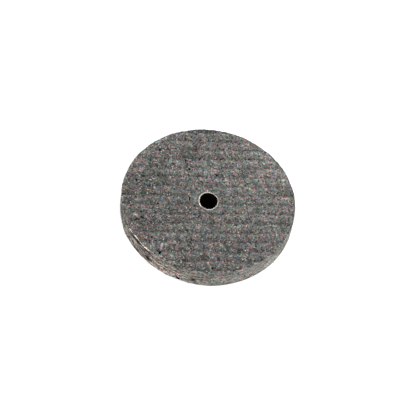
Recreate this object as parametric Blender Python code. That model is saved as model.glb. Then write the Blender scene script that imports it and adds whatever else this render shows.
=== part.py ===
"""Felt polishing wheel: a flat disc of five fulled cloth plies, bonded face to face, with one arbor bore.

The wheel lies flat with its axis on +Z, and the origin is on the axis at the back face.
The plies are stacked from the back face up: ply, bond film, ply, and so on to the front face.
"""

from math import cos, pi, radians, sin

import bmesh
import bpy

MM = 0.001  # metres in a millimetre

# Driving dimensions
WHEEL_DIAMETER = 25.4 * MM
WHEEL_THICKNESS = 3.175 * MM
BORE_DIAMETER = 2.4 * MM
BOND_FILM_THICKNESS = 0.04 * MM
BOND_GAP = 0.01 * MM  # clearance between a bond film and the ply on either side
BOND_RIM_SETBACK = 0.10 * MM  # how far the film stops short of the rim
BOND_BORE_SETBACK = 0.06 * MM  # how far the film stops short of the bore

# Rounding of the cut edges
OUTER_EDGE_RADIUS = 0.16 * MM  # rim corner of the two face plies, on the open side
BORE_LIP_RADIUS = 0.10 * MM  # bore corner of the two face plies, on the open side
PLY_EDGE_RADIUS = 0.05 * MM  # every corner that faces another ply

ROUND_SEGMENTS = 96
LIP_ARC_STEPS = 2
PLY_ARC_STEPS = 1
SHARP_ANGLE = radians(35)

# Stacks, from the back face to the front face
PLY_NAMES = (
    "back_face_ply",
    "back_inner_ply",
    "core_ply",
    "front_inner_ply",
    "front_face_ply",
)
BOND_FILM_NAMES = (
    "back_outer_bond_film",
    "back_inner_bond_film",
    "front_inner_bond_film",
    "front_outer_bond_film",
)
BOND_LAYER = BOND_FILM_THICKNESS + 2 * BOND_GAP
PLY_THICKNESS = (WHEEL_THICKNESS - len(BOND_FILM_NAMES) * BOND_LAYER) / len(PLY_NAMES)
PLY_PITCH = PLY_THICKNESS + BOND_LAYER

# Finishes: linear base colour and roughness
FACE_FELT = ((0.170, 0.165, 0.157), 0.95)
INNER_FELT = ((0.225, 0.205, 0.175), 0.97)
BOND_RESIN = ((0.030, 0.024, 0.020), 0.55)


def make_material(name, finish):
    """Principled material of one sub-part."""
    colour, roughness = finish
    material = bpy.data.materials.new(name)
    material.use_nodes = True
    shader = material.node_tree.nodes["Principled BSDF"]
    shader.inputs["Base Color"].default_value = (*colour, 1.0)
    shader.inputs["Roughness"].default_value = roughness
    shader.inputs["Metallic"].default_value = 0.0
    return material


def corner_arc(corner, inward, radius, start, steps):
    """Points of a quarter circle that rounds one corner of a section, anticlockwise from `start`."""
    centre = (corner[0] + inward[0] * radius, corner[1] + inward[1] * radius)
    angles = [start + step * (pi / 2) / steps for step in range(steps + 1)]
    return [(centre[0] + radius * cos(angle), centre[1] + radius * sin(angle)) for angle in angles]


def ply_section(bottom, top, bottom_is_open, top_is_open):
    """Section of a ply as (radius, height) points, rounder at the corners that lie on an open face."""
    bore = BORE_DIAMETER / 2
    rim = WHEEL_DIAMETER / 2

    def corner(radius, height, inward, start, edge_radius, is_open):
        rounding = edge_radius if is_open else PLY_EDGE_RADIUS
        steps = LIP_ARC_STEPS if is_open else PLY_ARC_STEPS
        return corner_arc((radius, height), inward, rounding, start, steps)

    return (
        corner(bore, bottom, (1, 1), pi, BORE_LIP_RADIUS, bottom_is_open)
        + corner(rim, bottom, (-1, 1), 1.5 * pi, OUTER_EDGE_RADIUS, bottom_is_open)
        + corner(rim, top, (-1, -1), 0.0, OUTER_EDGE_RADIUS, top_is_open)
        + corner(bore, top, (1, -1), 0.5 * pi, BORE_LIP_RADIUS, top_is_open)
    )


def film_section(bottom, top):
    """Section of a bond film: a thin rectangle that stops short of the bore and of the rim."""
    bore = BORE_DIAMETER / 2 + BOND_BORE_SETBACK
    rim = WHEEL_DIAMETER / 2 - BOND_RIM_SETBACK
    return [(bore, bottom), (rim, bottom), (rim, top), (bore, top)]


def turned_ring(name, section, finish):
    """Closed ring about Z, spun from a closed section that runs anticlockwise."""
    ring = bmesh.new()
    points = [ring.verts.new((radius, 0.0, height)) for radius, height in section]
    sides = [ring.edges.new(pair) for pair in zip(points, points[1:] + points[:1])]
    bmesh.ops.spin(
        ring,
        geom=points + sides,
        cent=(0.0, 0.0, 0.0),
        axis=(0.0, 0.0, 1.0),
        angle=2 * pi,
        steps=ROUND_SEGMENTS,
        use_merge=True,
    )
    bmesh.ops.recalc_face_normals(ring, faces=ring.faces)
    mesh = bpy.data.meshes.new(name)
    ring.to_mesh(mesh)
    ring.free()
    mesh.shade_smooth()
    mesh.set_sharp_from_angle(angle=SHARP_ANGLE)
    mesh.materials.append(make_material(name, finish))
    wheel_piece = bpy.data.objects.new(name, mesh)
    bpy.context.scene.collection.objects.link(wheel_piece)
    return wheel_piece


def make_plies():
    """The five plies; the first and the last one carry the wheel's two working faces."""
    last = len(PLY_NAMES) - 1
    for index, name in enumerate(PLY_NAMES):
        bottom = index * PLY_PITCH
        section = ply_section(bottom, bottom + PLY_THICKNESS, index == 0, index == last)
        finish = FACE_FELT if index in (0, last) else INNER_FELT
        turned_ring(name, section, finish)


def make_bond_films():
    """The four cured resin films, one in each joint between two plies."""
    for index, name in enumerate(BOND_FILM_NAMES):
        bottom = index * PLY_PITCH + PLY_THICKNESS + BOND_GAP
        turned_ring(name, film_section(bottom, bottom + BOND_FILM_THICKNESS), BOND_RESIN)


def main():
    for old in list(bpy.data.objects):
        bpy.data.objects.remove(old, do_unlink=True)
    make_plies()
    make_bond_films()


main()
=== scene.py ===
"""Looks of the felt polishing wheel: felted cloth plies with a woven relief and frayed, split edges,
the resin in the joints between the plies, and loose tufts and hairs of fibre.

Sizes are in millimetres until a mesh is made; Blender's meshes, lights and camera are in metres.
Directions round the wheel and their spreads are in degrees in the tables, and angles in radians elsewhere.
"""

import math
from collections import namedtuple
from math import radians

import bpy
import numpy as np
from mathutils import Matrix, Vector


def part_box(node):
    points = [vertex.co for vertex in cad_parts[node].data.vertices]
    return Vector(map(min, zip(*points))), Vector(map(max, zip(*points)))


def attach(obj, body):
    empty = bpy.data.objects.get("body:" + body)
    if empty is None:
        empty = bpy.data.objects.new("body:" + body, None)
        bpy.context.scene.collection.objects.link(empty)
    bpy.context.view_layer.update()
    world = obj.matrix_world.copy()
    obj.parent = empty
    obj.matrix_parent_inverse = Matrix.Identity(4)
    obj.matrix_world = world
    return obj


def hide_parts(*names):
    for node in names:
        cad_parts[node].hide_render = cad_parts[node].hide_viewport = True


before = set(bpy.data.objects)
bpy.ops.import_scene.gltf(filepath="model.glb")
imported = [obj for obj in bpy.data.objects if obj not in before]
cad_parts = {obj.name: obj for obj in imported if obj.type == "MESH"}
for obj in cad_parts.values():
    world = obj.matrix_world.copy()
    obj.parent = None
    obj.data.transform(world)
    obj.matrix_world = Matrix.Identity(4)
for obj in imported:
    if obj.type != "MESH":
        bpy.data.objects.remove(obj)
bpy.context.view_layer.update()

MM = 0.001  # metres in a millimetre
SEED = 5180

# The CAD model's own sizes
PLY_NAMES = ("back_face_ply", "back_inner_ply", "core_ply", "front_inner_ply", "front_face_ply")
FILM_PLACES = ("back_outer", "back_inner", "front_inner", "front_outer")
FRONT_PLY = len(PLY_NAMES) - 1  # plies and joints are counted from the back
BORE_RADIUS = 1.2
FILM_SETBACK = 0.06  # how far a resin film stops short of the bore
FILM_RAGGED = 0.05  # raggedness of its rim
FILM_BAND = 1.4  # width of the uneven band at its rim
RIM_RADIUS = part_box("core_ply")[1].x / MM
WHEEL_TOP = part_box("front_face_ply")[1].z / MM

# Weave of the cloth: pitch from band to band, and where the bands lie, in pitches from the axis
ROW_PITCH = 1.617
COLUMN_PITCH = 1.691
WEAVE_WAVES = (  # (relief, waves in a row pitch, waves in a column pitch, crest)
    (0.0265, 1, 0, 0.07),
    (0.0125, 2, 0, 0.405),
    (0.0113, 0, 1, 0.70),
    (0.0040, 0, 2, 0.90),
    (0.0070, 1, 1, 0.65),
    (0.0080, 2, 1, 0.08),
)
WEAVE_WANDER = 0.10  # how far the bands stray from straight lines
WANDER_SIZE = 3.0  # and over what distance
WEAVE_RANGE = 0.12  # relief from the deepest gap to the highest crest
WEAVE_PAINTED_LIGHT_AND_SHADE = 0.22  # painted light and shade of the weave: how much paler than plain the felt is painted at a crest, and darker in a gap

# Felt nap: a tangle of fibres on the faces and on the cut edges, in layers as tangle() describes
CELL = 0.03
FACE_FIBRES = ((14.0, 0.2, 0.5, 2, 1.0), (22.0, 0.4, 1.2, 1, 1.0))
EDGE_FIBRES = ((8.0, 0.3, 0.9, 2, 0.35), (22.0, 0.6, 2.6, 1, 0.25))
PLAIN_LEVEL = 0.62  # height in a tangle, from 0 to 1, that lies on the plain surface
FACE_NAP = 0.085  # relief of the tangle on a face
RIM_NAP = 0.11
BORE_NAP = 0.035
BACK_LOFT = 0.55  # the back is pressed flatter than the front
SWELL_SIZE = 1.3  # of the soft lumps of a face
SWELL_RELIEF = 0.012
SWELL_SHADE = 0.06
WAVE_SIZE = 1.6  # of the soft waves of a cut edge
WAVE_RELIEF = 0.03
EDGE_HEIGHT = 3.6  # of the tangle on a cut edge, a little over the wheel's thickness
COARSER_LEFT = 0.16  # how much coarser the nap is at the wheel's left side than in the middle

# Holes between a face's yarns, where its noise of holes is above HOLE_EDGE; they are sunk, painted darker as
# shade, and painted near black where deepest
HOLE_SIZE = 0.31
HOLE_EDGE = 1.04
HOLE_SLOPE = 0.2
HOLE_DEPTH = 0.22
HOLE_PAINTED_SHADE = 0.6

# Wear of the bore's front edge, as (direction, spread, depth): felt is pushed inward where depth is under 0
BORE_WEAR = (
    (-98, 64, 0.53),
    (75, 55, -0.10),
)
WEAR_REACH = 1.8  # outward along the face
WEAR_DEPTH = 1.5  # down the bore's wall
BORE_BURR = 0.22  # how far the bore's back edge stands inward, where the punch came out
FUZZY_BORE = (80, 40)  # where black loose fibre, painted shade, stands in it: direction, spread
FUZZ_HEIGHTS = (0.08, 0.75)

# The pale ring round the bore; a place on it or on the rim is (direction, spread)
LIP_WIDTH = 0.19
LIP_PAINTED_SHADE = (-8, 34)  # where it is painted dim, with a thinner fringe, as shade on the side that faces away from the light
LIP_PAINTED_HIGHLIGHT = (-145, 45)  # where it is painted whitest: a painted highlight on the side that faces the light
LIP_PAINTED_HIGHLIGHT_SHARE = 0.35  # how much paler it is painted there, as highlight

# The rim's wear and tone, and light and shade painted on it
WORN_RIM = (-154, 34)
FRAYED_RIM = (-152, 15)
# a warm stain on the worn rim, also painted paler as light
STAIN_AND_LIGHT_RIM = (-137, 38)
RIM_PAINTED_LIGHT = (  # painted light on the rim: (direction, spread, how much paler)
    (-50, 24, 0.16),
    (-160, 32, 0.38),
)
BROW_PAINTED_SHADE = (60, 80)  # where the front face's outer edge is painted dark, as shade on the far side
BROW_PAINTED_SHADE_SHARE = 0.70
FOOT_PAINTED_SHADE = 0.4  # painted shade: how much darker the rim is painted at the back face, where the wheel stands
FOOT_HEIGHT = 0.22
CALM_FOOT = 0.6  # how much of its nap the rim has lost there, where the wheel stands
CALM_HEIGHT = 0.45
OUT_OF_ROUND = (-93, 25, 0.15)  # bulge of the back plies: direction, spread, depth
JOINT_GROOVE = 0.045  # depth of the groove in the rim at each joint
GROOVE_HALF_HEIGHT = 0.06

LOOSE_HEIGHTS = (0.22, WHEEL_TOP - 0.05)  # between which loose fibre lies on the rim

# Nicks in the front face's outer edge: some at random and a large one, as (direction, half width, depth)
NICK_COUNT = 26
NICK_WIDTHS = (0.15, 0.5)
NICK_DEPTHS = (0.03, 0.10)
LARGE_NICK = (52, 0.8, 0.14)
NICK_HEIGHT = 1.2

# Splits between plies, as (joint, direction, half width, height, depth)
LIFTS = (
    (3, -147, 8, 0.16, 2.6),
    (3, -135, 4.5, 0.10, 1.5),
    (1, -135, 4, 0.08, 1.2),
    (0, -147, 4, 0.07, 1.2),
)
# Cracks in the rim, as (joint, direction, half width, depth, height)
CRACKS = (
    (3, -148, 6, 0.55, 0.30),
    (3, -137, 2.8, 0.40, 0.32),
    (3, -164, 4, 0.30, 0.20),
    (3, -173, 4, 0.30, 0.20),
    (2, -141, 2, 0.30, 0.20),
    (2, -155, 3, 0.25, 0.18),
    (1, -136, 2.2, 0.20, 0.55),
    (0, -147, 3.0, 0.12, 1.30),
    (0, -158, 3, 0.30, 0.20),
    (1, -151, 1.4, 0.16, 0.45),
    (0, -112, 1.2, 0.35, 0.35),
    (1, -102, 1.5, 0.30, 0.25),
    (2, -118, 4, 0.15, 0.12),
    (1, 35, 5, 0.12, 0.12),
    (2, 118, 6, 0.15, 0.12),
)
OVERHANG = 0.07  # height of a crack in the ply above its joint
IN_CRACK = 0.09  # the depth from which a crack is painted black, as shade, and holds no loose fibre
TORN_LIP = (-145, 11.5, 2.90)  # direction, half width and height of its pale edge

# Paler and darker patches over the faces, as (x, y, spread, tone): over 1 is paler than the rest
FACE_PATCHES = (
    (9.0, 6.0, 8.0, 1.29),
    (-9.0, -2.0, 7.0, 0.75),
    (0.0, -11.0, 6.0, 0.84),
    (-7.0, 2.5, 3.5, 0.92),
    (5.5, -2.0, 3.0, 0.93),
)

# Fineness of the meshes
FACE_STEP = 0.095  # between two rings of points on an open face
WALL_STEP = 0.045  # and on a cut edge
FINE_SEGMENTS = 840  # round the rim; half as many inside MIDDLE_RADIUS, a quarter inside INNER_RADIUS
MIDDLE_RADIUS = 6.4
INNER_RADIUS = 3.2
HIDDEN_RINGS = (9.8, 10.4, 10.9, 11.3, 11.7, 12.0, 12.25, 12.45)  # closer where a ply can lift
OUTER_EDGE = 0.14  # rounding of the rim at an open face
LIP_EDGE = 0.12  # of the bore at an open face
INNER_EDGE = 0.05  # of every edge at a joint


# ---- fields of fibre

def smooth_step(x):
    """0 below 0, 1 above 1, and a smooth rise between them."""
    x = np.clip(x, 0, 1)
    return x * x * (3 - 2 * x)


def bell(x):
    """1 at 0, falling smoothly to about 0.02 at 2."""
    return np.exp(-x * x)


def spreads_away(angle, direction, spread):
    """How many spreads an angle is away from a direction."""
    return ((angle - radians(direction) + math.pi) % (2 * math.pi) - math.pi) / radians(spread)


def near(angle, direction, spread):
    """1 in that direction, falling smoothly to about 0.02 at two spreads from it."""
    return bell(spreads_away(angle, direction, spread))


def random_angles(rng, count, where):
    """Angles near (direction, spread), or all round where that is None."""
    if where is None:
        return rng.uniform(-math.pi, math.pi, count)
    return rng.normal(radians(where[0]), radians(where[1]), count)


def flat_place(radius, angle):
    """The x and y of a point."""
    return radius * np.cos(angle), radius * np.sin(angle)


class Field:
    """A grid of values over a width and a height that repeats at its edges."""

    def __init__(self, values, cell):
        self.values = values
        self.cell = cell

    def at(self, u, v):
        """Values at (u, v), read between the grid's points."""
        rows, columns = self.values.shape
        x, y = u / self.cell, v / self.cell
        x0, y0 = np.floor(x).astype(int), np.floor(y).astype(int)
        fx, fy = x - x0, y - y0
        left, right = x0 % columns, (x0 + 1) % columns
        low, high = y0 % rows, (y0 + 1) % rows
        grid = self.values
        bottom = grid[low, left] * (1 - fx) + grid[low, right] * fx
        top = grid[high, left] * (1 - fx) + grid[high, right] * fx
        return bottom * (1 - fy) + top * fy


def softened(grid, times):
    """The grid, with each value averaged with its neighbours."""
    for _ in range(times):
        for axis in (0, 1):
            grid = (np.roll(grid, 1, axis) + 2 * grid + np.roll(grid, -1, axis)) / 4
    return grid


def noise_field(rng, width, height, size):
    """Smooth random values between about -1 and 1, with lumps of about `size`."""
    cell = size / 3
    grid = rng.normal(size=(max(4, round(height / cell)), max(4, round(width / cell))))
    grid = softened(grid, 3)
    return Field(grid / (2 * grid.std()), cell)


def tangle(rng, width, height, layers):
    """A tangle of fibres seen from above, as two fields: the top fibre's height and its tone, both 0 to 1.

    Each layer is (fibres per square millimetre, shortest, longest, half width in cells, spread of direction).
    """
    columns, rows = round(width / CELL), round(height / CELL)
    places, heights, tones = [], [], []
    for density, shortest, longest, half_width, spread in layers:
        count = int(density * width * height)
        start_x = rng.random((count, 1)) * width
        start_y = rng.random((count, 1)) * height
        heading = rng.normal(0, spread, (count, 1))
        curl = rng.normal(0, 0.5, (count, 1))
        length = rng.uniform(shortest, longest, (count, 1))
        level = rng.random((count, 1))
        tone = rng.random((count, 1))
        steps = int(longest / (CELL * 0.8))
        share = np.linspace(-1, 1, steps)[None, :]
        along = share * length / 2
        turn = heading + curl * along
        for offset in range(-half_width, half_width + 1):
            x = start_x + along * np.cos(turn) - offset * CELL * np.sin(heading)
            y = start_y + along * np.sin(turn) + offset * CELL * np.cos(heading)
            across = offset / (half_width + 0.5)
            column = np.round(x / CELL).astype(int) % columns
            row = np.round(y / CELL).astype(int) % rows
            places.append((row * columns + column).ravel())
            heights.append((0.72 * level + 0.28 * (1 - across * across) * (1 - share**4)).ravel())
            tones.append(np.broadcast_to(tone, x.shape).ravel())
    places, heights, tones = map(np.concatenate, (places, heights, tones))
    upward = np.argsort(heights, kind="stable")
    top = np.full(rows * columns, 0.3)
    top_tone = np.full(rows * columns, 0.35)
    top[places[upward]] = heights[upward]
    top_tone[places[upward]] = tones[upward]
    top = softened(top.reshape(rows, columns), 1)
    top_tone = softened(top_tone.reshape(rows, columns), 1)
    return Field(top, CELL), Field(top_tone, CELL)


# ---- surfaces of the wheel

class Face:
    """Relief and tone of one open face of the wheel."""

    def __init__(self, seed, loft):
        rng = np.random.default_rng(seed)
        side = 2 * RIM_RADIUS + 1
        self.loft = loft
        self.nap, self.fibre_tone = tangle(rng, side, side, FACE_FIBRES)
        self.wander_x = noise_field(rng, side, side, WANDER_SIZE)
        self.wander_y = noise_field(rng, side, side, WANDER_SIZE)
        self.swell = noise_field(rng, side, side, SWELL_SIZE)
        self.holes = noise_field(rng, side, side, HOLE_SIZE)

    def weave(self, x, y):
        """Height of the woven bands, rows along X and columns along Y."""
        x, y = x + WEAVE_WANDER * self.wander_x.at(x, y), y + WEAVE_WANDER * self.wander_y.at(x, y)
        bands = 0 * x
        for relief, in_row, in_column, crest in WEAVE_WAVES:
            turns = in_row * y / ROW_PITCH + in_column * x / COLUMN_PITCH - crest
            bands = bands + relief * np.cos(2 * math.pi * turns)
        return bands

    def coarseness(self, x):
        """Size of the nap's relief and contrast, which is 1 in the middle."""
        return 1 - COARSER_LEFT * x / RIM_RADIUS

    def hole(self, x, y):
        """How far inside a hole between the yarns a point is, 0 to 1."""
        return smooth_step((self.holes.at(x, y) * self.coarseness(x) - HOLE_EDGE) / HOLE_SLOPE)

    def height(self, x, y):
        """Relief above the plain face, in millimetres."""
        nap = FACE_NAP * self.coarseness(x) * (self.nap.at(y, x) - PLAIN_LEVEL)
        swell = SWELL_RELIEF * self.swell.at(x, y)
        return self.loft * (self.weave(x, y) + nap + swell - HOLE_DEPTH * self.hole(x, y))

    def tone(self, x, y):
        """Tone of the fibre on top, 0 to 1."""
        return 0.5 + self.coarseness(x) * (self.fibre_tone.at(y, x) - 0.5)

    def shade(self, x, y):
        """Share of its plain colour that the felt keeps: painted shade in the gaps of the weave and painted
        light on its crests, the lumps' tone, paler and darker patches, and painted shade in the holes.
        """
        # painted shade in the weave's gaps and painted light on its crests
        bands = np.clip(self.weave(x, y) / WEAVE_RANGE, -0.5, 0.5)
        shade = 1 + WEAVE_PAINTED_LIGHT_AND_SHADE * bands + SWELL_SHADE * self.swell.at(x, y)
        for centre_x, centre_y, spread, tone in FACE_PATCHES:
            shade = shade * tone ** bell(np.hypot(x - centre_x, y - centre_y) / spread)
        # painted shade in the holes between yarns
        return shade * (1 - HOLE_PAINTED_SHADE * self.hole(x, y))


class CutEdge:
    """Relief and tone of a cut edge, laid out along its circumference and its height."""

    def __init__(self, seed, radius, nap):
        rng = np.random.default_rng(seed)
        self.radius = radius
        self.nap_relief = nap
        length = 2 * math.pi * radius
        self.nap, self.fibre_tone = tangle(rng, length, EDGE_HEIGHT, EDGE_FIBRES)
        self.waves = noise_field(rng, length, EDGE_HEIGHT, WAVE_SIZE)

    def height(self, angle, z):
        """Relief above the plain edge, in millimetres."""
        u = angle * self.radius
        nap = self.nap_relief * (self.nap.at(u, z) - PLAIN_LEVEL)
        return nap + WAVE_RELIEF * self.waves.at(u, z * 0.5)

    def tone(self, angle, z):
        """Tone of the fibre on top, 0 to 1."""
        return self.fibre_tone.at(angle * self.radius, z)


FRONT = Face(SEED + 1, 1.0)
BACK = Face(SEED + 2, BACK_LOFT)
RIM = CutEdge(SEED + 3, RIM_RADIUS, RIM_NAP)
BORE = CutEdge(SEED + 4, BORE_RADIUS, BORE_NAP)
NICK_RNG = np.random.default_rng(SEED + 5)
NICKS = [
    (NICK_RNG.uniform(-math.pi, math.pi), NICK_RNG.uniform(*NICK_WIDTHS), NICK_RNG.uniform(*NICK_DEPTHS))
    for _ in range(NICK_COUNT)
]
NICKS.append((radians(LARGE_NICK[0]), *LARGE_NICK[1:]))


def worn(angle):
    """How worn the rim is: 0 where it is sound and 1 at its worst."""
    return near(angle, *WORN_RIM)


def bore_wear(angle, radius, z):
    """How far the surface near the bore's front edge has been pushed outward."""
    wear = 0 * angle
    for direction, spread, depth in BORE_WEAR:
        wear = wear + depth * near(angle, direction, spread)
    outward = 1 - smooth_step((radius - BORE_RADIUS) / WEAR_REACH)
    downward = smooth_step((z - WHEEL_TOP + WEAR_DEPTH) / WEAR_DEPTH)
    return wear * (outward * downward)


def cracked(angle, z, bottom, top, index):
    """How deep the cracks at the joints above and below ply `index` cut into its rim, in millimetres.

    They cut mostly into the ply under the joint, and the one above overhangs.
    """
    cut = 0 * angle
    for crack_joint, direction, half_width, depth, height in CRACKS:
        reach = smooth_step((1.3 - np.abs(spreads_away(angle, direction, half_width))) / 0.6)
        if crack_joint == index:
            cut = np.maximum(cut, depth * reach * bell((top - z) / height))
        elif crack_joint == index - 1:
            cut = np.maximum(cut, depth * reach * bell((z - bottom) / OVERHANG))
    return cut


def rim_relief(angle, z, bottom, top, index):
    """How far the rim of ply `index` stands proud of the plain rim at (angle, z)."""
    calm = 1 - CALM_FOOT * bell(z / CALM_HEIGHT) * (1 - worn(angle))
    relief = RIM.height(angle, z) * (0.7 + 1.3 * worn(angle)) * calm - 0.08 * worn(angle)
    direction, spread, depth = OUT_OF_ROUND
    relief = relief + depth * near(angle, direction, spread) * smooth_step((2.4 - z) / 1.5)
    for nick_angle, width, depth in NICKS:
        away = ((angle - nick_angle + math.pi) % (2 * math.pi) - math.pi) * RIM_RADIUS / width
        relief = relief - depth * bell(away) * smooth_step((z - WHEEL_TOP + NICK_HEIGHT) / NICK_HEIGHT)
    if index > 0:
        relief = relief - JOINT_GROOVE * bell((z - bottom) / GROOVE_HALF_HEIGHT)
    if index < FRONT_PLY:
        relief = relief - JOINT_GROOVE * bell((top - z) / GROOVE_HALF_HEIGHT)
    return relief - cracked(angle, z, bottom, top, index)


def lift(angle, radius, index):
    """How far ply `index` is raised where the joints under it have opened."""
    height = 0 * angle
    for joint, direction, half_width, rise, depth in LIFTS:
        if index > joint:
            reach = smooth_step(1.25 - np.abs(spreads_away(angle, direction, half_width)))
            height = height + rise * reach * smooth_step((radius - RIM_RADIUS + depth) / depth) ** 1.5
    return height


def torn_lip(angle, z, at_rim, index):
    """The pale torn fibre along the cut edge of the front ply where it overhangs the splits."""
    if index < FRONT_PLY:
        return 0 * angle
    direction, half_width, height = TORN_LIP
    reach = smooth_step((1.2 - np.abs(spreads_away(angle, direction, half_width))) / 0.4)
    ragged = 0.5 + 0.5 * smooth_step(0.6 + 1.5 * RIM.waves.at(3 * angle * RIM_RADIUS, z))
    return at_rim * reach * bell((z - height) / 0.11) * ragged


# ---- meshes

def scene_object(name, data):
    thing = bpy.data.objects.new(name, data)
    bpy.context.scene.collection.objects.link(thing)
    return thing


def mesh_object(name, points_mm, triangles, attributes=None):
    """An object made of triangles, with one number a point for each named attribute."""
    mesh = bpy.data.meshes.new(name)
    mesh.vertices.add(len(points_mm))
    mesh.vertices.foreach_set("co", (points_mm * MM).astype(np.float32).ravel())
    mesh.loops.add(3 * len(triangles))
    mesh.loops.foreach_set("vertex_index", triangles.astype(np.int32).ravel())
    mesh.polygons.add(len(triangles))
    mesh.polygons.foreach_set("loop_start", np.arange(0, 3 * len(triangles), 3, dtype=np.int32))
    for attribute_name, values in (attributes or {}).items():
        attribute = mesh.attributes.new(attribute_name, "FLOAT", "POINT")
        attribute.data.foreach_set("value", values.astype(np.float32))
    mesh.update(calc_edges=True)
    mesh.validate()
    mesh.shade_smooth()
    return scene_object(name, mesh)


def segments_at(radius):
    """How many segments a ring of that radius has."""
    if radius > MIDDLE_RADIUS:
        return FINE_SEGMENTS
    return FINE_SEGMENTS // 2 if radius > INNER_RADIUS else FINE_SEGMENTS // 4


def bridge(first, count, second, next_count):
    """Triangles between two rings of points; one ring may have twice as many points as the other."""
    a, b = np.arange(count), np.arange(next_count)
    if count == next_count:
        step = (a + 1) % count
        return np.concatenate([
            np.stack([first + a, second + a, second + step], 1),
            np.stack([first + a, second + step, first + step], 1),
        ])
    if next_count == 2 * count:
        step = (a + 1) % count
        middle, far = second + 2 * a + 1, second + (2 * a + 2) % next_count
        return np.concatenate([
            np.stack([first + a, second + 2 * a, middle], 1),
            np.stack([first + a, middle, first + step], 1),
            np.stack([first + step, middle, far], 1),
        ])
    return bridge(second, next_count, first, count)[:, ::-1]


def joined_rings(counts):
    """Triangles between rings of so many points each, from one to the next and from the last to the first."""
    starts = np.cumsum(counts) - counts
    after = [*range(1, len(counts)), 0]
    return np.concatenate([bridge(starts[k], counts[k], starts[n], counts[n]) for k, n in enumerate(after)])


def ply_section(bottom, top, open_bottom, open_top):
    """Rings of a ply's surface, as (radius, height, outward radial part, outward axial part)."""
    def arc(radius, height, inward_r, inward_z, size, start):
        steps = 5 if size > INNER_EDGE else 3
        for angle in np.linspace(start, start + math.pi / 2, steps):
            yield (
                radius + (inward_r + math.cos(angle)) * size,
                height + (inward_z + math.sin(angle)) * size,
                math.cos(angle),
                math.sin(angle),
            )

    def face_radii(is_open):
        if is_open:
            inner, outer = BORE_RADIUS + LIP_EDGE, RIM_RADIUS - OUTER_EDGE
            return list(np.arange(inner + FACE_STEP, outer - FACE_STEP / 2, FACE_STEP))
        beside_steps = [step + side for step in (INNER_RADIUS, MIDDLE_RADIUS) for side in (-0.1, 0.1)]
        return [*beside_steps, *HIDDEN_RINGS]

    low_edge, low_lip = (OUTER_EDGE, LIP_EDGE) if open_bottom else (INNER_EDGE, INNER_EDGE)
    high_edge, high_lip = (OUTER_EDGE, LIP_EDGE) if open_top else (INNER_EDGE, INNER_EDGE)
    wall = list(np.arange(bottom + low_edge + WALL_STEP, top - high_edge - WALL_STEP / 2, WALL_STEP))
    bore_wall = list(np.arange(bottom + low_lip + WALL_STEP, top - high_lip - WALL_STEP / 2, WALL_STEP))
    rings = list(arc(BORE_RADIUS, bottom, 1, 1, low_lip, math.pi))
    rings += [(radius, bottom, 0.0, -1.0) for radius in face_radii(open_bottom)]
    rings += arc(RIM_RADIUS, bottom, -1, 1, low_edge, 1.5 * math.pi)
    rings += [(RIM_RADIUS, height, 1.0, 0.0) for height in wall]
    rings += arc(RIM_RADIUS, top, -1, -1, high_edge, 0.0)
    rings += [(radius, top, 0.0, 1.0) for radius in reversed(face_radii(open_top))]
    rings += arc(BORE_RADIUS, top, 1, -1, high_lip, 0.5 * math.pi)
    rings += [(BORE_RADIUS, height, -1.0, 0.0) for height in reversed(bore_wall)]
    return rings


def ply_grid(bottom, top, index):
    """A ply's plain surface: angle, radius, height and outward parts of its points, and its triangles."""
    rings = ply_section(bottom, top, index == 0, index == FRONT_PLY)
    counts = [segments_at(radius) for radius, *_ in rings]
    angle = np.concatenate([np.arange(n) * 2 * math.pi / n for n in counts])
    parts = [np.repeat([ring[k] for ring in rings], counts) for k in range(4)]
    return angle, *parts, joined_rings(counts)


def pale_ring(angle, radius):
    """How much of the pale ring round the bore is left at a point of a face, 0 to 1."""
    uneven = BORE.waves.at(6 * angle * BORE_RADIUS, 0 * angle)
    ring = smooth_step((BORE_RADIUS + LIP_WIDTH * (1 + 0.5 * uneven) - radius) / 0.06)
    # The ring is painted dimmer, as shade, on the side that faces away from the light.
    return ring * np.clip(0.95 + 0.3 * uneven - 0.8 * near(angle, *LIP_PAINTED_SHADE), 0, 1)


def edge_shade(angle, radius, z, at_rim, lip):
    """How much paler or darker than the rest the felt is painted by the bore and at the rim: a painted
    highlight on the bore's pale ring, painted shade at the rim's foot and at the front face's far outer edge,
    and painted light on parts of the rim.
    """
    # painted highlight on the side of the bore's pale ring that faces the light
    shade = 1 + LIP_PAINTED_HIGHLIGHT_SHARE * lip * near(angle, *LIP_PAINTED_HIGHLIGHT)
    # painted shade along the rim's foot, at the back face
    shade = shade * (1 - FOOT_PAINTED_SHADE * at_rim * bell(z / FOOT_HEIGHT))
    # painted shade on the front face's outer edge at the far side
    brow = smooth_step((radius - RIM_RADIUS + 0.34) / 0.16) * bell((WHEEL_TOP - z) / 0.3)
    shade = shade * (1 - BROW_PAINTED_SHADE_SHARE * brow * near(angle, *BROW_PAINTED_SHADE))
    # painted light on the rim where it faces the lamps
    for direction, spread, share in RIM_PAINTED_LIGHT:
        shade = shade * (1 + share * at_rim * near(angle, direction, spread))
    return shade


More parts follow.
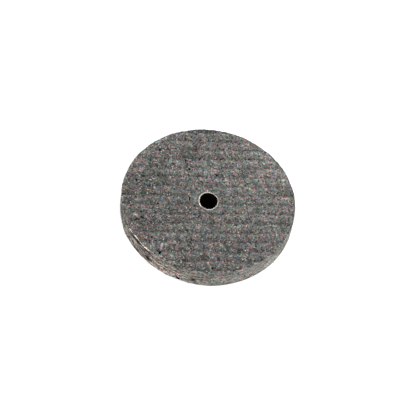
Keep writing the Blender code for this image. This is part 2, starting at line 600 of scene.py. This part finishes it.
def make_ply(name, index, materials):
    """One felted cloth ply, with its relief, its frayed cut edges and its part of the splits.

    The second of its two materials is near-black painted shade, for the wall of the bore, the cracks and the
    holes between yarns.
    """
    low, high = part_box(name)
    bottom, top = low.z / MM, high.z / MM
    angle, radius, z, out_r, out_z, triangles = ply_grid(bottom, top, index)
    x, y = flat_place(radius, angle)
    at_rim = (radius > MIDDLE_RADIUS) * out_r**2
    at_bore = (radius < MIDDLE_RADIUS) * out_r**2
    open_face = out_z**2 * ((out_z > 0) * (index == FRONT_PLY) + (out_z < 0) * (index == 0))
    flat = smooth_step((open_face - 0.5) / 0.3)
    surface = FRONT if index == FRONT_PLY else BACK

    torn = torn_lip(angle, z, at_rim, index)
    relief = open_face * surface.height(x, y)
    relief += at_rim * rim_relief(angle, z, bottom, top, index) + 0.10 * torn
    relief += at_bore * (BORE.height(angle, z) + BORE_BURR * bell(z / 0.3))
    tone = open_face * surface.tone(x, y) + (1 - open_face) * np.where(
        radius > MIDDLE_RADIUS, RIM.tone(angle, z), BORE.tone(angle, z)
    )
    tone = 0.5 + (tone - 0.5) * (1 + at_rim * (1.6 * worn(angle) - 0.25))
    fray = smooth_step((radius - RIM_RADIUS + 0.55) / 0.55)
    lip = pale_ring(angle, radius) * flat
    crack = at_rim * cracked(angle, z, bottom, top, index)
    shade = np.where(open_face > 0.02, surface.shade(x, y), 1.0)
    # The rim is painted darker in its cracks, as shade.
    shade = shade * edge_shade(angle, radius, z, at_rim, lip) * (1 - 0.8 * smooth_step(crack / 0.12))
    lip = np.maximum(lip, 0.85 * torn * smooth_step(1.4 * tone))
    # the wall of the bore, painted near black as shade
    bore = (radius < BORE_RADIUS + 0.3) * (1 - flat)

    wear = bore_wear(angle, radius, z)
    z = z + relief * out_z + lift(angle, radius, index)
    radius = radius + relief * out_r + wear
    points = np.stack([*flat_place(radius, angle), z], 1)
    ply = mesh_object(name + "_cloth", points, triangles, {
        "tone": tone,
        "relief": np.clip(relief / 0.16 + 0.5, 0, 1),
        "cut": np.clip(at_rim + 0.55 * fray * open_face, 0, 1),
        "lip": lip,
        "bore": bore,
        "shade": shade,
        "stain_and_light": at_rim * near(angle, *STAIN_AND_LIGHT_RIM),
    })
    for material in materials:
        ply.data.materials.append(material)
    # Polygons on the bore's wall, deep in a crack or in a hole between yarns get the near-black painted shade
    # material.
    hole = (open_face > 0.9) * surface.hole(x, y)
    black = (bore > 0.6) | (crack > IN_CRACK) | (hole > 0.4)
    ply.data.polygons.foreach_set("material_index", black[triangles].all(1).astype(np.int32))
    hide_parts(name)
    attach(ply, "root")


def make_bond_film(name, index, materials):
    """Cured resin between two plies: a thin ring with a ragged rim.

    The second of its two materials, near-black painted shade, is for the edge in the bore.
    """
    low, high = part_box(name)
    rng = np.random.default_rng(SEED + 20 + index)
    ragged = noise_field(rng, 2 * math.pi * RIM_RADIUS, 4.0, 0.5)
    count = FINE_SEGMENTS // 2
    outer, inner = high.x / MM, BORE_RADIUS + FILM_SETBACK
    angle = np.arange(count) * 2 * math.pi / count
    edge = outer - FILM_RAGGED + FILM_RAGGED * ragged.at(angle * RIM_RADIUS, 0 * angle)
    bottom, top = low.z / MM, high.z / MM
    middle = (bottom + top) / 2
    swell = 0.012 * ragged.at(angle * RIM_RADIUS, 0 * angle + 1.5)
    rings = [
        (inner + 0 * angle, middle),
        (inner + 0.04 + 0 * angle, bottom),
        (outer - FILM_BAND + 0 * angle, bottom),
        (edge - 0.05, bottom),
        (edge, middle),
        (edge - 0.05, top),
        (outer - FILM_BAND + 0 * angle, top + swell),
        (inner + 0.04 + 0 * angle, top),
    ]
    points = np.concatenate([
        np.stack([*flat_place(radius, angle), height + 0 * angle], 1) for radius, height in rings
    ])
    triangles = joined_rings([count] * len(rings))
    film = mesh_object(name + "_resin", points, triangles)
    for material in materials:
        film.data.materials.append(material)
    # the film's edge in the bore gets the near-black painted shade
    at_bore = np.hypot(points[:, 0], points[:, 1]) < inner + 0.05
    film.data.polygons.foreach_set("material_index", at_bore[triangles].all(1).astype(np.int32))
    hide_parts(name)
    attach(film, "root")


# A kind of strand: the ranges of its length and width, how many sides its section has and how many
# stations lie between its two tips, and its material and slot
Strand = namedtuple("Strand", "lengths widths sides stations material slot")


def make_spindles(name, origin, along, up, length, width, bend, kind):
    """Tufts or hairs: one piece of many short, bent, pointed strands. Vectors are unit length."""
    count, sides, stations = len(origin), kind.sides, kind.stations
    side = np.cross(up, along)
    share = np.linspace(-1, 1, stations + 2)[1:-1]
    thick = np.sqrt(1 - share**2)
    turn = np.arange(sides) * 2 * math.pi / sides
    line = (
        origin[:, None]
        + along[:, None] * (share[None, :, None] * length[:, None, None] / 2)
        + side[:, None] * (bend[:, 0, None, None] * (share**2)[None, :, None])
        + up[:, None] * (bend[:, 1, None, None] * (share**2)[None, :, None])
    )
    swell = thick[None, :, None, None] * width[:, None, None, None]
    rings = (
        line[:, :, None]
        + side[:, None, None] * (0.5 * np.cos(turn)[None, None, :, None] * swell)
        + up[:, None, None] * (0.35 * np.sin(turn)[None, None, :, None] * swell)
    ).reshape(count, stations * sides, 3)
    tips = np.stack([
        origin + sign * along * length[:, None] / 2 + side * bend[:, :1] + up * bend[:, 1:]
        for sign in (-1, 1)
    ], 1)
    points = np.concatenate([rings, tips], 1).reshape(-1, 3)
    pattern = []
    for k in range(sides):
        after = (k + 1) % sides
        pattern.append((stations * sides, after, k))
        pattern.append((stations * sides + 1, (stations - 1) * sides + k, (stations - 1) * sides + after))
        for ring in range(stations - 1):
            a, b = ring * sides, (ring + 1) * sides
            pattern.append((a + k, a + after, b + after))
            pattern.append((a + k, b + after, b + k))
    per_strand = stations * sides + 2
    triangles = (np.array(pattern)[None] + (np.arange(count) * per_strand)[:, None, None]).reshape(-1, 3)
    strands = mesh_object(name, points, triangles)
    strands.data.materials.append(kind.material)
    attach(strands, "root")


def unit(vectors):
    return vectors / np.linalg.norm(vectors, axis=1, keepdims=True)


def polar(angle):
    """Unit vectors outward from the axis and round it, in each direction."""
    out = np.stack([np.cos(angle), np.sin(angle), 0 * angle], 1)
    return out, np.stack([-np.sin(angle), np.cos(angle), 0 * angle], 1)


def face_strands(name, seed, count, kind, facing, proud, tilt):
    """Strands that lie on an open face.

    `facing` is 1 on the front and -1 on the back, and `proud` is how many widths they stand above it.
    """
    surface = FRONT if facing > 0 else BACK
    rng = np.random.default_rng(seed)
    radius = np.sqrt(rng.uniform((BORE_RADIUS + 0.35) ** 2, (RIM_RADIUS - 0.12) ** 2, count))
    angle = rng.uniform(0, 2 * math.pi, count)
    on_yarn = surface.hole(*flat_place(radius, angle)) < 0.05
    radius, angle = radius[on_yarn], angle[on_yarn]
    count = len(radius)
    heading = rng.uniform(0, 2 * math.pi, count)
    length = rng.uniform(*kind.lengths, count)
    width = rng.uniform(*kind.widths, count)
    x, y = flat_place(radius, angle)
    base = WHEEL_TOP + lift(angle, radius, FRONT_PLY) if facing > 0 else 0 * x
    z = base + facing * (surface.height(x, y) + proud * width)
    if facing > 0:
        radius = radius + bore_wear(angle, radius, z)
        x, y = flat_place(radius, angle)
    along = unit(np.stack([np.cos(heading), np.sin(heading), rng.normal(0, tilt, count)], 1))
    up = np.tile([0.0, 0.0, float(facing)], (count, 1))
    bend = np.stack([rng.normal(0, 0.10, count) * length, -rng.uniform(0.0, 0.06, count) * length], 1)
    make_spindles(name, np.stack([x, y, z], 1), along, up, length, width, bend, kind)


def rim_strands(name, seed, count, kind, proud, where=None):
    """Strands of the plies' cut edges, which mostly run round the rim."""
    rng = np.random.default_rng(seed)
    angle = random_angles(rng, count, where)
    z = rng.uniform(*LOOSE_HEIGHTS, count)
    length = rng.uniform(*kind.lengths, count)
    width = rng.uniform(*kind.widths, count)
    slope = rng.normal(0, 0.22, count)
    slope = np.clip(slope, -2 * z / length, 2 * (WHEEL_TOP - z) / length)
    ply = np.minimum((z / WHEEL_TOP * len(PLY_NAMES)).astype(int), FRONT_PLY)
    relief, raised, crack = np.zeros((3, count))
    for index, name_of_ply in enumerate(PLY_NAMES):
        low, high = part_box(name_of_ply)
        mine = ply == index
        place = (angle[mine], z[mine], low.z / MM, high.z / MM, index)
        relief[mine] = rim_relief(*place)
        crack[mine] = cracked(*place)
        raised[mine] = lift(angle[mine], RIM_RADIUS + 0 * angle[mine], index)
    radius = RIM_RADIUS + relief + proud * width
    loose = crack < IN_CRACK
    angle, z, length, width, slope, radius, raised = (
        values[loose] for values in (angle, z, length, width, slope, radius, raised)
    )
    out, round_rim = polar(angle)
    along = unit(round_rim * np.cos(slope)[:, None] + np.stack([0 * slope, 0 * slope, np.sin(slope)], 1))
    origin = out * radius[:, None]
    origin[:, 2] = z + raised
    sag = length**2 / (8 * RIM_RADIUS) + rng.uniform(0.0, 0.04, len(length)) * length
    bend = np.stack([rng.normal(0, 0.03, len(length)) * length, -sag], 1)
    make_spindles(name, origin, along, out, length, width, bend, kind)


def bore_lip_strands(name, seed, count, kind, facing, rolls, where=None):
    """Pale fibres rolled over the lip of the bore, round which they lie.

    How far over they are rolled runs from 0 on the bore's wall to pi / 2 on the face.
    """
    rng = np.random.default_rng(seed)
    angle = random_angles(rng, count, where)
    roll = rng.uniform(*rolls, count)
    length = rng.uniform(*kind.lengths, count)
    # The fringe is thinner on the lip's shaded side, so the ring looks dimmer there: painted shade.
    width = rng.uniform(*kind.widths, count) * (1 - 0.6 * near(angle, *LIP_PAINTED_SHADE))
    surface = FRONT if facing > 0 else BACK
    radius = BORE_RADIUS + 0.02 + LIP_EDGE - LIP_EDGE * np.cos(roll)
    x, y = flat_place(radius, angle)
    base = WHEEL_TOP if facing > 0 else 0.0
    rise = LIP_EDGE * np.sin(roll) - LIP_EDGE + surface.height(x, y) * np.sin(roll) ** 2 + 0.005
    z = base + facing * rise
    if facing > 0:
        radius = radius + bore_wear(angle, radius, z)
        x, y = flat_place(radius, angle)
    out, round_bore = polar(angle)
    up = -out * np.cos(roll)[:, None]
    up[:, 2] = facing * np.sin(roll)
    across = unit(np.cross(up, round_bore))
    slope = rng.normal(0, 0.3, count)[:, None]
    along = unit(round_bore * np.cos(slope) + across * np.sin(slope))
    inward = length**2 / (8 * radius)  # its ends follow the bore's curve
    bend = np.stack([np.sign(np.sum(across * -out, 1)) * inward * np.sin(roll), inward * np.cos(roll)], 1)
    make_spindles(name, np.stack([x, y, z], 1), along, up, length, width, bend, kind)


def bore_fuzz(name, seed, count, kind):
    """Loose fibres that stand inward from the wall of the bore near the back face, near black as painted
    shade, so that the bore looks dark all through.
    """
    rng = np.random.default_rng(seed)
    angle = random_angles(rng, count, FUZZY_BORE)
    z = rng.uniform(*FUZZ_HEIGHTS, count)
    length = rng.uniform(*kind.lengths, count)
    width = rng.uniform(*kind.widths, count)
    lean = rng.normal(0, 0.5, (count, 1))
    out, round_bore = polar(angle)
    along = unit(out * np.cos(lean) + round_bore * np.sin(lean))
    along[:, 2] = rng.normal(0, 0.1, count)
    along = unit(along)
    origin = out * (BORE_RADIUS + 0.1 - length[:, None] * 0.42)
    origin[:, 2] = z
    up = unit(np.cross(along, np.cross(np.tile([0.0, 0.0, 1.0], (count, 1)), along)))
    bend = np.stack([rng.normal(0, 0.12, count) * length, rng.normal(0, 0.05, count) * length], 1)
    make_spindles(name, origin, along, up, length, width, bend, kind)


# ---- materials

class Shader:
    """A material's nodes, with short calls for the ones used here."""

    def __init__(self, name):
        self.material = bpy.data.materials.new(name)
        self.material.use_nodes = True
        self.tree = self.material.node_tree
        self.inputs = self.tree.nodes["Principled BSDF"].inputs
        self.place = self.node("ShaderNodeTexCoord").outputs["Object"]

    def node(self, kind, **settings):
        made = self.tree.nodes.new(kind)
        for key, value in settings.items():
            setattr(made, key, value)
        return made

    def feed(self, socket, value):
        """Links a socket's source, or sets its value."""
        if isinstance(value, bpy.types.NodeSocket):
            self.tree.links.new(value, socket)
        else:
            socket.default_value = value

    def math(self, operation, *values):
        made = self.node("ShaderNodeMath", operation=operation)
        for socket, value in zip(made.inputs, values):
            self.feed(socket, value)
        return made.outputs[0]

    def attribute(self, name):
        return self.node("ShaderNodeAttribute", attribute_name=name).outputs["Fac"]

    def noise(self, size_mm, detail=2.0, roughness=0.5, stretch=(1, 1, 1), offset=0.0):
        """Noise of that lump size, as a number from 0 to 1."""
        mapping = self.node("ShaderNodeMapping")
        self.feed(mapping.inputs["Vector"], self.place)
        mapping.inputs["Scale"].default_value = [1 / (size_mm * MM * s) for s in stretch]
        mapping.inputs["Location"].default_value = (offset, offset * 1.7, offset * 0.6)
        made = self.node("ShaderNodeTexNoise")
        self.feed(made.inputs["Vector"], mapping.outputs["Vector"])
        made.inputs["Scale"].default_value = 1.0
        made.inputs["Detail"].default_value = detail
        made.inputs["Roughness"].default_value = roughness
        return made.outputs["Fac"]

    def spread(self, value, new_low, new_high, low=0.3, high=0.7, clamp=True):
        """The value, with low to high mapped to new_low to new_high; most noise is from 0.3 to 0.7."""
        made = self.node("ShaderNodeMapRange", clamp=clamp)
        for socket, number in zip(made.inputs, (value, low, high, new_low, new_high)):
            self.feed(socket, number)
        return made.outputs[0]

    def ramp(self, value, stops):
        """Colour of a ramp at a value; stops are (position, red, green, blue)."""
        made = self.node("ShaderNodeValToRGB")
        band = made.color_ramp
        while len(band.elements) < len(stops):
            band.elements.new(0.5)
        for element, (position, *colour) in zip(band.elements, stops):
            element.position = position
            element.color = (*colour, 1.0)
        self.feed(made.inputs["Fac"], value)
        return made.outputs["Color"]

    def mix(self, blend, factor, a, b):
        made = self.node("ShaderNodeMix", data_type="RGBA", blend_type=blend, clamp_factor=True)
        for socket, value in zip((made.inputs[0], made.inputs[6], made.inputs[7]), (factor, a, b)):
            if isinstance(value, tuple):
                value = (*value, 1.0)
            self.feed(socket, value)
        return made.outputs[2]

    def scale_colour(self, colour, factor):
        """A colour times a number."""
        made = self.node("ShaderNodeVectorMath", operation="SCALE")
        self.feed(made.inputs[0], colour)
        self.feed(made.inputs["Scale"], factor)
        return made.outputs[0]

    def bump(self, height, strength, distance_mm):
        made = self.node("ShaderNodeBump")
        self.feed(made.inputs["Height"], height)
        made.inputs["Strength"].default_value = strength
        made.inputs["Distance"].default_value = distance_mm * MM
        self.feed(self.inputs["Normal"], made.outputs["Normal"])

    def finish(self, colour, roughness, sheen=0.0, specular=0.3):
        self.feed(self.inputs["Base Color"], colour)
        self.feed(self.inputs["Roughness"], roughness)
        self.inputs["Sheen Weight"].default_value = sheen
        self.inputs["Sheen Roughness"].default_value = 0.5
        self.inputs["Specular IOR Level"].default_value = specular
        return self.material


FACE_COLOURS = (
    (0.00, 0.012, 0.012, 0.010),
    (0.16, 0.040, 0.041, 0.037),
    (0.42, 0.100, 0.098, 0.092),
    (0.66, 0.156, 0.150, 0.143),
    (0.86, 0.252, 0.240, 0.230),
    (1.00, 0.470, 0.445, 0.425),
)
CUT_COLOURS = (
    (0.00, 0.006, 0.006, 0.005),
    (0.18, 0.034, 0.035, 0.030),
    (0.40, 0.129, 0.130, 0.118),
    (0.70, 0.235, 0.230, 0.208),
    (1.00, 0.370, 0.355, 0.320),
)
# painted shade in the hollows of the nap and painted light on its tops, by the height of the relief
FIBRE_RELIEF_LIGHT_AND_SHADE = (
    (0.00, 0.10, 0.10, 0.10),
    (0.22, 0.45, 0.45, 0.45),
    (0.42, 0.88, 0.88, 0.88),
    (0.85, 1.12, 1.12, 1.12),
)
PIT_EDGE = 0.395  # noise below this is painted as a dark pit: shade with no hollow in the mesh
PIT_PAINTED_SHADE = (0.10, 0.16, 0.15)
STAIN_AND_LIGHT_COLOUR = (1.62, 1.42, 1.29)
LIP_COLOUR = (0.62, 0.54, 0.48)
BORE_PAINTED_SHADE = (0.0015, 0.0015, 0.0015)
RED_DYE = (1.75, 0.838, 0.88)
TEAL_DYE = (0.555, 1.10, 1.075)
GREEN_DYE = (0.985, 1.105, 0.80)
VIOLET_DYE = (1.02, 0.91, 1.21)


def felt_material(name):
    """Felt of mixed fibres: each fibre has its own tone, and patches of them their own dye."""
    shader = Shader(name)
    tone = shader.attribute("tone")
    grain = shader.noise(0.11, detail=3.0, roughness=0.65)
    lumps = shader.noise(0.45, detail=2.0, offset=11.0)
    patches = shader.noise(3.2, detail=3.0, offset=23.0)
    mixed = shader.math("ADD", tone, shader.spread(grain, -0.40, 0.40))
    mixed = shader.math("ADD", mixed, shader.spread(lumps, -0.06, 0.06))
    mixed = shader.math("ADD", mixed, shader.spread(patches, -0.13, 0.13))
    contrast = shader.spread(mixed, 0.095, 0.905, 0.0, 1.0, clamp=False)
    face = shader.ramp(contrast, FACE_COLOURS)
    cut = shader.ramp(shader.spread(mixed, 0.0, 1.0, 0.1, 0.9), CUT_COLOURS)
    cut_share = shader.attribute("cut")
    colour = shader.mix("MIX", cut_share, face, cut)
    lip = shader.attribute("lip")
    undyed = shader.math("ADD", shader.math("MULTIPLY", lip, 0.6), shader.math("MULTIPLY", cut_share, 0.2))
    dyed = shader.math("SUBTRACT", 1.0, undyed)
    colour = shader.mix("MIX", lip, colour, LIP_COLOUR)
    warmth = shader.noise(0.42, detail=1.5, stretch=(1.5, 0.68, 1), offset=41.0)
    warmth = shader.math("POWER", shader.spread(warmth, 0.0, 1.0, 0.28, 0.72), 1.4)
    colour = shader.mix("MULTIPLY", dyed, colour, shader.mix("MIX", warmth, TEAL_DYE, RED_DYE))
    greenness = shader.noise(0.48, detail=1.5, stretch=(1.6, 1, 1), offset=71.0)
    greenness = shader.spread(greenness, 0.0, 1.0, 0.28, 0.72)
    colour = shader.mix("MULTIPLY", dyed, colour, shader.mix("MIX", greenness, VIOLET_DYE, GREEN_DYE))
    # painted shade in hollows and painted light on tops, by the relief
    gaps = shader.ramp(shader.attribute("relief"), FIBRE_RELIEF_LIGHT_AND_SHADE)
    colour = shader.mix("MULTIPLY", 1.0, colour, gaps)
    # painted shade of small pits that the mesh does not have
    pits = shader.noise(0.27, detail=1.5, stretch=(0.85, 1.15, 1), offset=91.0)
    pits = shader.spread(pits, 1.0, 0.0, PIT_EDGE - 0.06, PIT_EDGE)
    colour = shader.mix("MULTIPLY", pits, colour, PIT_PAINTED_SHADE)
    colour = shader.scale_colour(colour, shader.attribute("shade"))
    # warm stain of the worn rim, painted paler too, as light
    colour = shader.mix("MULTIPLY", shader.attribute("stain_and_light"), colour, STAIN_AND_LIGHT_COLOUR)
    # Painted shade: the bore's wall is near black.
    colour = shader.mix("MIX", shader.attribute("bore"), colour, BORE_PAINTED_SHADE)
    fuzz = shader.noise(0.045, detail=3.0, roughness=0.7, offset=3.0)
    shader.bump(fuzz, 0.7, 0.05)
    roughness = shader.spread(grain, 0.86, 1.0)
    return shader.finish(colour, roughness, sheen=0.12, specular=0.15)


STRAND_COLOURS = {
    "face_tuft": (
        (0.00, 0.008, 0.009, 0.009),
        (0.36, 0.030, 0.042, 0.040),
        (0.54, 0.090, 0.105, 0.100),
        (0.68, 0.170, 0.118, 0.110),
        (0.84, 0.225, 0.185, 0.172),
        (0.95, 0.340, 0.305, 0.270),
        (1.00, 0.520, 0.490, 0.440),
    ),
    "edge_tuft": (
        (0.00, 0.035, 0.036, 0.032),
        (0.30, 0.090, 0.092, 0.082),
        (0.65, 0.160, 0.148, 0.130),
        (1.00, 0.310, 0.285, 0.250),
    ),
    "frayed_tuft": (
        (0.00, 0.010, 0.009, 0.008),
        (0.30, 0.060, 0.055, 0.047),
        (0.52, 0.215, 0.185, 0.160),
        (1.00, 0.580, 0.515, 0.460),
    ),
    "lip_tuft": (
        (0.00, 0.230, 0.230, 0.210),
        (0.50, 0.560, 0.460, 0.410),
        (1.00, 0.850, 0.760, 0.690),
    ),
    # for the painted highlight on the bore's lip
    "highlight_tuft": (
        (0.00, 0.560, 0.520, 0.490),
        (1.00, 0.960, 0.900, 0.870),
    ),
    "hair": (
        (0.00, 0.030, 0.032, 0.034),
        (0.40, 0.090, 0.100, 0.100),
        (0.75, 0.190, 0.165, 0.150),
        (1.00, 0.360, 0.320, 0.280),
    ),
}


def tuft_material(name):
    """Loose fibre: every strand has its own colour."""
    shader = Shader(name)
    strand = shader.node("ShaderNodeNewGeometry").outputs["Random Per Island"]
    grain = shader.noise(0.05, detail=2.0)
    value = shader.math("ADD", strand, shader.spread(grain, -0.06, 0.06))
    colour = shader.ramp(value, STRAND_COLOURS[name])
    shader.bump(shader.noise(0.03, detail=2.0, offset=5.0), 0.5, 0.02)
    return shader.finish(colour, shader.spread(grain, 0.75, 1.0), sheen=0.15, specular=0.2)


def painted_shade_felt_material(name):
    """Near-black felt that is painted shade: on the wall of the bore, in a crack and in a hole, where shade
    falls.
    """
    shader = Shader(name)
    grain = shader.noise(0.10, detail=3.0, roughness=0.65)
    colour = shader.ramp(grain, ((0.35, 0.0008, 0.0008, 0.0008), (0.70, 0.0080, 0.0072, 0.0068)))
    shader.bump(grain, 0.6, 0.04)
    return shader.finish(colour, shader.spread(grain, 0.9, 1.0), specular=0.0)


def resin_material(name):
    """Cured dark resin with dust and fibre in it."""
    shader = Shader(name)
    dust = shader.noise(0.08, detail=3.0, roughness=0.7)
    colour = shader.ramp(dust, ((0.35, 0.012, 0.010, 0.008), (0.70, 0.060, 0.048, 0.038)))
    shader.bump(dust, 0.5, 0.03)
    return shader.finish(colour, shader.spread(dust, 0.35, 0.75), specular=0.4)


# ---- studio

CAMERA_AZIMUTH = radians(-12.3)
CAMERA_ELEVATION = radians(55.0)
CAMERA_ROLL = radians(11.08)
CAMERA_DISTANCE = 20 * RIM_RADIUS
WHEEL_SHARE = 0.4207  # of the frame's width that the wheel's diameter takes
FACE_OFFSET = (0.102, 1.263)  # of the front face's centre from the frame's, to the right and up
SENSOR_WIDTH = 36.0
FLOOR_SIDE = 6.0  # metres
FLOOR_LEVEL = -0.12
FLOOR_EDGE = (0.90, 0.96)  # shares of the rim's radius, from the painted shadow under the wheel to the glowing floor
FLOOR_GLOW = 0.72
SQUARE = ((-1, -1), (1, -1), (1, 1), (-1, 1))


def toward(azimuth, elevation):
    """Unit vector from the wheel; azimuth 0 is in front and a quarter turn is to the right."""
    level = math.cos(elevation)
    return Vector((math.sin(azimuth) * level, -math.cos(azimuth) * level, math.sin(elevation)))


def make_camera():
    """A long lens, 20 wheel radii from the front face."""
    back = toward(CAMERA_AZIMUTH, CAMERA_ELEVATION)
    level_right = Vector((math.cos(CAMERA_AZIMUTH), math.sin(CAMERA_AZIMUTH), 0.0))
    level_up = back.cross(level_right)
    right = level_right * math.cos(CAMERA_ROLL) + level_up * math.sin(CAMERA_ROLL)
    up = level_up * math.cos(CAMERA_ROLL) - level_right * math.sin(CAMERA_ROLL)
    aim = Vector((0, 0, WHEEL_TOP)) - right * FACE_OFFSET[0] - up * FACE_OFFSET[1]
    data = bpy.data.cameras.new("camera")
    data.sensor_width = SENSOR_WIDTH
    data.lens = SENSOR_WIDTH * WHEEL_SHARE * CAMERA_DISTANCE / (2 * RIM_RADIUS)
    data.clip_start = 0.01
    camera = scene_object("camera", data)
    camera.matrix_world = Matrix.Translation((aim + back * CAMERA_DISTANCE) * MM) @ Matrix((
        (right.x, up.x, back.x, 0),
        (right.y, up.y, back.y, 0),
        (right.z, up.z, back.z, 0),
        (0, 0, 0, 1),
    ))
    bpy.context.scene.camera = camera


def make_light(name, azimuth, elevation, distance, size, power):
    """A square soft light that points at the wheel, from a direction in degrees."""
    back = toward(radians(azimuth), radians(elevation))
    data = bpy.data.lights.new(name, "AREA")
    data.size = size
    data.energy = power
    light = scene_object(name, data)
    light.location = back * distance
    light.rotation_mode = "QUATERNION"
    light.rotation_quaternion = back.to_track_quat("Z", "Y")


def paper_material(name):
    """White paper that glows, so that no shadow falls on it, with a painted shadow: it is dark and does not
    glow where the wheel covers it.
    """
    shader = Shader(name)
    distance = shader.node("ShaderNodeVectorMath", operation="LENGTH")
    shader.feed(distance.inputs[0], shader.place)
    dark, lit = (share * RIM_RADIUS * MM for share in FLOOR_EDGE)
    open_floor = shader.spread(distance.outputs["Value"], 0.0, 1.0, dark, lit)
    paper = shader.ramp(shader.noise(4.0, detail=3.0), ((0.3, 0.36, 0.36, 0.36), (0.7, 0.40, 0.40, 0.40)))
    # painted shadow under the wheel
    colour = shader.mix("MIX", open_floor, (0.02, 0.02, 0.02), paper)
    glow = shader.mix("MIX", open_floor, (0.0, 0.0, 0.0), (1.0, 1.0, 1.0))
    shader.feed(shader.inputs["Emission Color"], glow)
    shader.inputs["Emission Strength"].default_value = FLOOR_GLOW
    return shader.finish(colour, 0.9, specular=0.2)


def make_studio():
    """A pale floor, an even white surround and two soft lights."""
    scene = bpy.context.scene
    scene.view_settings.view_transform = "Standard"
    world = bpy.data.worlds.new("surround")
    world.use_nodes = True
    background = world.node_tree.nodes["Background"].inputs
    background["Color"].default_value = (1.0, 1.0, 1.0, 1.0)
    background["Strength"].default_value = 1.0
    scene.world = world
    make_light("key", azimuth=88, elevation=28, distance=0.60, size=0.22, power=3.4)
    make_light("fill", azimuth=-75, elevation=28, distance=0.60, size=0.35, power=1.77)

    floor = bpy.data.meshes.new("floor")
    corners = [(x * FLOOR_SIDE / 2, y * FLOOR_SIDE / 2, FLOOR_LEVEL * MM) for x, y in SQUARE]
    floor.from_pydata(corners, [], [(0, 1, 2, 3)])
    plane = scene_object("floor", floor)
    plane.data.materials.append(paper_material("floor_paper"))


# ---- the wheel

make_camera()
make_studio()

felt = felt_material("felt")
fibre = {name: tuft_material(name) for name in STRAND_COLOURS}
painted_shade_felt = painted_shade_felt_material("painted_shade_felt")
resin = resin_material("resin")

for index, name in enumerate(PLY_NAMES):
    make_ply(name, index, (felt, painted_shade_felt))
for index, place in enumerate(FILM_PLACES):
    make_bond_film(place + "_bond_film", index, (resin, painted_shade_felt))

face_tufts = Strand((0.16, 0.42), (0.09, 0.18), 5, 4, fibre["face_tuft"], "face_felt")
flat_tufts = face_tufts._replace(widths=(0.08, 0.14))
face_hairs = Strand((0.4, 1.2), (0.02, 0.04), 3, 5, fibre["hair"], "face_felt")
rim_hairs = face_hairs._replace(slot="inner_felt")
rim_tufts = Strand((0.25, 0.7), (0.06, 0.12), 5, 4, fibre["edge_tuft"], "inner_felt")
frayed_threads = Strand((0.3, 1.2), (0.04, 0.09), 5, 6, fibre["frayed_tuft"], "inner_felt")
lip_fibres = Strand((0.15, 0.45), (0.03, 0.06), 5, 5, fibre["lip_tuft"], "inner_felt")
lip_highlight_fibres = lip_fibres._replace(material=fibre["highlight_tuft"])
# near-black loose fibres for the bore: painted shade
fuzz_fibres = Strand((0.3, 0.8), (0.04, 0.08), 4, 5, painted_shade_felt, "inner_felt")

face_strands("front_tufts", SEED + 31, 3600, face_tufts, facing=1, proud=0.0, tilt=0.07)
face_strands("back_tufts", SEED + 32, 3600, flat_tufts, facing=-1, proud=-0.3, tilt=0.02)
face_strands("front_hairs", SEED + 33, 3500, face_hairs, facing=1, proud=0.3, tilt=0.07)
face_strands("back_hairs", SEED + 34, 3500, face_hairs, facing=-1, proud=0.0, tilt=0.02)
rim_strands("rim_tufts", SEED + 35, 3200, rim_tufts, proud=-0.1)
rim_strands("rim_hairs", SEED + 36, 2600, rim_hairs, proud=0.2)
rim_strands("frayed_threads", SEED + 40, 340, frayed_threads, proud=0.3, where=FRAYED_RIM)
bore_lip_strands("front_bore_fringe", SEED + 37, 230, lip_fibres, facing=1, rolls=(0.95, 1.55))
# White fibres on the side of the bore's lip that faces the light: a painted highlight.
bore_lip_strands("front_bore_highlight_fibres", SEED + 41, 70, lip_highlight_fibres, facing=1, rolls=(1.1, 1.5), where=LIP_PAINTED_HIGHLIGHT)
bore_lip_strands("back_bore_fringe", SEED + 38, 420, lip_fibres, facing=-1, rolls=(1.35, 1.55))
bore_fuzz("bore_fuzz", SEED + 39, 160, fuzz_fibres)
